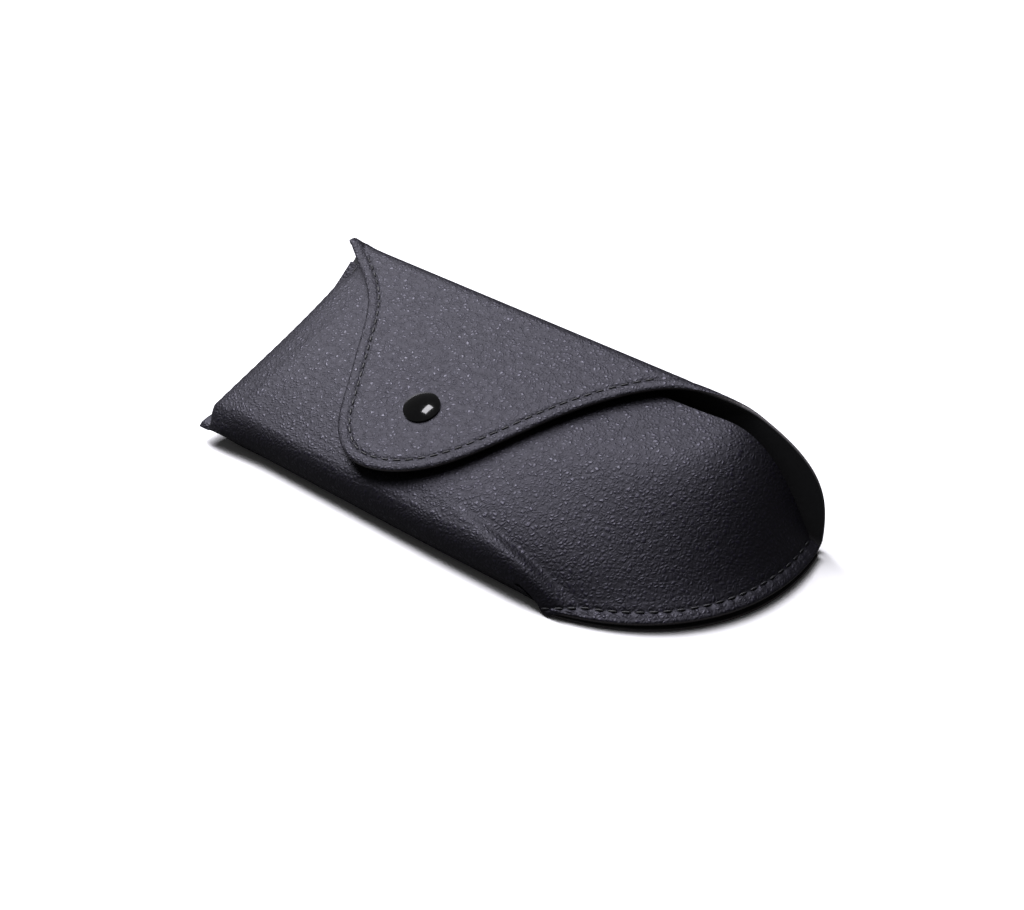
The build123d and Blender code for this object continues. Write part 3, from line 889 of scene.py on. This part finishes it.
# ---- operators --------------------------------------------------------------------------------
class POUCH_OT_pouch_leather(bpy.types.Operator):
    """The leather of the pouch: front panel, underside and far wall in one folded sheet"""
    bl_idname = "pouch.pouch_leather"
    bl_label = "Pouch leather"

    def execute(self, context):
        sizes = context.scene.pouch_sizes
        shares = shares_across(sizes.columns)
        top = 1 - SPLIT / BACK_LENGTH
        front_rows = sizes.rows // 2
        ends = np.concatenate((np.linspace(-1, 0, front_rows),
                               np.linspace(0, top, sizes.rows - front_rows + 1)[1:]))
        glue = np.array([blank_row(shares, k) for k in ends])
        normals = normals_of(glue, shares, ends)
        relief = np.zeros(glue.shape[:2])
        walks = {}
        for side in ("left", "right"):
            points, _, along = seam_line(side, *SEAM_RUN, 200)
            run = run_of(points)
            pitch = run[-1] / max(1, round(run[-1] * MM / sizes.pitch))
            walks[side] = along, run, pitch
        for j, k in enumerate(ends):
            t = -k if k < 0 else min(k / SEAM_SHARE, 1)
            right_x = glue[j, -1, 0]
            along, run, pitch = walks["right"]
            inward = right_x - glue[j, :, 0]
            if k < SEAM_SHARE:
                inward = seam_inward(glue[j, :, 0], right_x, t)
            relief[j] += edge_relief(inward, np.interp(t, along, run), pitch, 1.0)
            along, run, pitch = walks["left"]
            if k < 0 or k > 0.6 * LEFT_SHARE:
                rolled = LEFT_RELIEF if k < 0 else 0.0
                relief[j] += edge_relief(glue[j, :, 0], np.interp(t, along, run), pitch, rolled)
        outer = glue + normals * (LEATHER + relief)[..., None]
        faces = [f[::-1] for f in grid_faces(*glue.shape[:2])]
        glue_points = glue.reshape(-1, 3)
        piece = closed_sheet("pouch_leather", outer.reshape(-1, 3), glue_points, faces, leather_pair())
        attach(piece, "pouch")
        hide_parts("front_panel", "back_panel")
        return {"FINISHED"}


class POUCH_OT_flap_leather(bpy.types.Operator):
    """The flap's leather, which runs on over the top fold and bends there"""
    bl_idname = "pouch.flap_leather"
    bl_label = "Flap leather"

    def execute(self, context):
        insets = (0.2, 0.45, 0.8, 1.3, 1.8, 2.3, 2.7, 3.0, 3.25, 3.5, 3.8, 4.3, 5.0)
        flat, faces, inward = flat_pattern(0.9, insets)
        glue, normals = flap_point(flat[:, 0], flat[:, 1])
        lift = flap_lift(flat[:, 0], flat[:, 1], inward)
        glue = glue + normals * lift[:, None]
        relief = rounded_edge(inward)
        relief -= 0.3 * np.exp(-((inward - STITCH_IN) / 0.5) ** 2)
        relief += 0.1 * np.exp(-((inward - 1.6) / 0.9) ** 2)
        outer = glue + normals * (LEATHER + relief)[:, None]
        faces = faced(faces, outer, normals)
        piece = closed_sheet("flap_leather", outer, glue, faces, leather_pair())
        bend_over_fold(piece)
        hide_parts("flap")
        return {"FINISHED"}


def bend_over_fold(piece):
    """Bake the sheet's placement into its mesh; it is not attached to the pouch or the flap."""
    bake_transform(piece)


class POUCH_OT_linings(bpy.types.Operator):
    """The lining inside the pouch and under the flap"""
    bl_idname = "pouch.linings"
    bl_label = "Linings"

    def execute(self, context):
        shares = shares_across(90)
        top = 1 - SPLIT / BACK_LENGTH
        parts = (("front_lining_cloth", "front_lining", np.linspace(-1, -0.004, 90)),
                 ("back_lining_cloth", "back_lining", np.linspace(0.003, top, 130)))
        for name, node_name, ends in parts:
            glue = np.array([blank_row(shares, k) for k in ends])
            normals = normals_of(glue, shares, ends)
            inner = glue - normals * LINING
            faces = grid_faces(*glue.shape[:2])
            piece = closed_sheet(name, inner.reshape(-1, 3), glue.reshape(-1, 3), faces, lining_only())
            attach(piece, "pouch")
            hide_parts(node_name)
        flat, faces, inward = flat_pattern(1.6, (0.5, 1.5, 3.0))
        glue, normals = flap_point(flat[:, 0], flat[:, 1])
        glue = glue + normals * flap_lift(flat[:, 0], flat[:, 1], inward)[:, None]
        under = glue - normals * LINING
        faces = faced(faces, under, -normals)
        piece = closed_sheet("flap_lining_cloth", under, glue, faces, lining_only())
        bend_over_fold(piece)
        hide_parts("flap_lining")
        return {"FINISHED"}


class POUCH_OT_stitching(bpy.types.Operator):
    """The lines of stitching along the seams, the hood and the flap"""
    bl_idname = "pouch.stitching"
    bl_label = "Stitching"

    def execute(self, context):
        sizes, colours = context.scene.pouch_sizes, context.scene.pouch_colours
        thread = found_material("Sewing thread", lambda: thread_material(colours))
        rows = {
            "left_seam_thread": seam_line("left", *SEAM_RUN, 200)[:2] + ("pouch",),
            "right_seam_thread": seam_line("right", *SEAM_RUN, 200)[:2] + ("pouch",),
            "hood_thread": hood_line(160) + ("pouch",),
            "flap_thread": flap_line() + ("flap",),
        }
        for node_name, (points, normals, body) in rows.items():
            piece = stitch_row(node_name.replace("thread", "stitches"), points, normals, sizes, thread)
            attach(piece, body)
            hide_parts(node_name)
        return {"FINISHED"}


class POUCH_OT_press_stud(bpy.types.Operator):
    """Finishes of the press stud's cap, socket, spring, stud and eyelet"""
    bl_idname = "pouch.press_stud"
    bl_label = "Press stud"

    def execute(self, context):
        colours = context.scene.pouch_colours
        cap = metal_material("Lacquered cap", list(colours.cap), 0.0, 0.12, 1.0)
        dark = metal_material("Blackened brass", [0.03, 0.03, 0.032], 0.9, 0.32, 0.3)
        steel = metal_material("Spring steel", [0.55, 0.55, 0.56], 1.0, 0.25, 0.0)
        finishes = {"snap_cap": cap, "snap_socket": dark, "snap_stud": dark, "snap_eyelet": dark,
                    "snap_spring": steel}
        for name, material in finishes.items():
            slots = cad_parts[name].material_slots
            if not slots:
                raise RuntimeError(f"{name} has no material slot")
            for place in slots:
                place.material = material
        return {"FINISHED"}


class POUCH_OT_stage(bpy.types.Operator):
    """Pale floor, soft studio light and the camera"""
    # The floor is full white to the camera and dark to every other ray, so that it throws
    # little light up on the case. The softbox leaves the cap out, which mirrors the window only.
    bl_idname = "pouch.stage"
    bl_label = "Stage"

    def execute(self, context):
        floor_colour = context.scene.pouch_colours.floor
        mesh = bpy.data.meshes.new("floor")
        mesh.from_pydata([(-4, -4, 0), (4, -4, 0), (4, 4, 0), (-4, 4, 0)], [], [(0, 1, 2, 3)])
        material, tree, shader, _ = new_material("Table")
        sight = node(tree, "ShaderNodeLightPath", (-600, 0))
        colour = blend_colour(tree, (-300, 0), sight.outputs["Is Camera Ray"],
                              [c * 0.12 for c in floor_colour], list(floor_colour))
        tree.links.new(colour, shader.inputs["Base Color"])
        shader.inputs["Roughness"].default_value = 0.9
        shader.inputs["Specular IOR Level"].default_value = 0.1
        mesh.materials.append(material)
        floor = bpy.data.objects.new("floor", mesh)
        floor.location.z = -0.0001
        context.scene.collection.objects.link(floor)

        world = bpy.data.worlds.new("Studio")
        context.scene.world = world
        world.use_nodes = True
        world.node_tree.nodes["Background"].inputs["Color"].default_value = (1, 1, 1, 1)
        world.node_tree.nodes["Background"].inputs["Strength"].default_value = 0.07
        context.scene.view_settings.view_transform = "Standard"

        for name, place, aim, size, power in (
                ("back_softbox", (-0.55, 0.12, 0.84), (0, 0, 0.02), (0.42, 0.75), 18),
                ("top_window", (-0.10, 0.00, 0.95), (-0.02, 0, 0.02), (0.5, 0.26), 3.0)):
            light = bpy.data.lights.new(name, "AREA")
            light.shape = "RECTANGLE"
            light.size, light.size_y = size
            light.energy = power
            light.color = (0.95, 0.94, 1.0)
            lamp = bpy.data.objects.new(name, light)
            lamp.location = place
            lamp.rotation_euler = (Vector(aim) - Vector(place)).to_track_quat("-Z", "Y").to_euler()
            context.scene.collection.objects.link(lamp)
            if name == "back_softbox":
                spare = bpy.data.collections.new("lit by the window alone")
                spare.objects.link(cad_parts["snap_cap"])
                lamp.light_linking.receiver_collection = spare
                spare.collection_objects[0].light_linking.link_state = "EXCLUDE"

        camera = bpy.data.cameras.new("camera")
        camera.lens = 57.3
        camera.sensor_width = 36
        camera.clip_start = 0.01
        shot = bpy.data.objects.new("camera", camera)
        shot.location = Vector((222.87, -268.80, 266.27)) * MM
        target = Vector((-8.78, 15.19, 0)) * MM
        shot.rotation_euler = (target - shot.location).to_track_quat("-Z", "Y").to_euler()
        context.scene.collection.objects.link(shot)
        context.scene.camera = shot
        return {"FINISHED"}


STEPS = ("stage", "pouch_leather", "flap_leather", "linings", "stitching", "press_stud")


class POUCH_PT_panel(bpy.types.Panel):
    bl_idname = "POUCH_PT_panel"
    bl_label = "Soft pouch"
    bl_space_type = "VIEW_3D"
    bl_region_type = "UI"
    bl_category = "Pouch"

    def draw(self, context):
        for name in ("grain", "stitch", "pitch", "thread", "columns", "rows"):
            self.layout.prop(context.scene.pouch_sizes, name)
        for name in ("leather", "edge", "lining", "thread", "cap", "floor"):
            self.layout.prop(context.scene.pouch_colours, name)
        for step in STEPS:
            self.layout.operator("pouch." + step)


CLASSES = (PouchSizes, PouchColours, POUCH_OT_pouch_leather, POUCH_OT_flap_leather,
           POUCH_OT_linings, POUCH_OT_stitching, POUCH_OT_press_stud, POUCH_OT_stage,
           POUCH_PT_panel)


def register():
    for cls in CLASSES:
        bpy.utils.register_class(cls)
    bpy.types.Scene.pouch_sizes = PointerProperty(type=PouchSizes)
    bpy.types.Scene.pouch_colours = PointerProperty(type=PouchColours)


def unregister():
    del bpy.types.Scene.pouch_colours
    del bpy.types.Scene.pouch_sizes
    for cls in reversed(CLASSES):
        bpy.utils.unregister_class(cls)


def main():
    register()
    for step in STEPS:
        getattr(bpy.ops.pouch, step)()


if __name__ == "__main__":
    main()
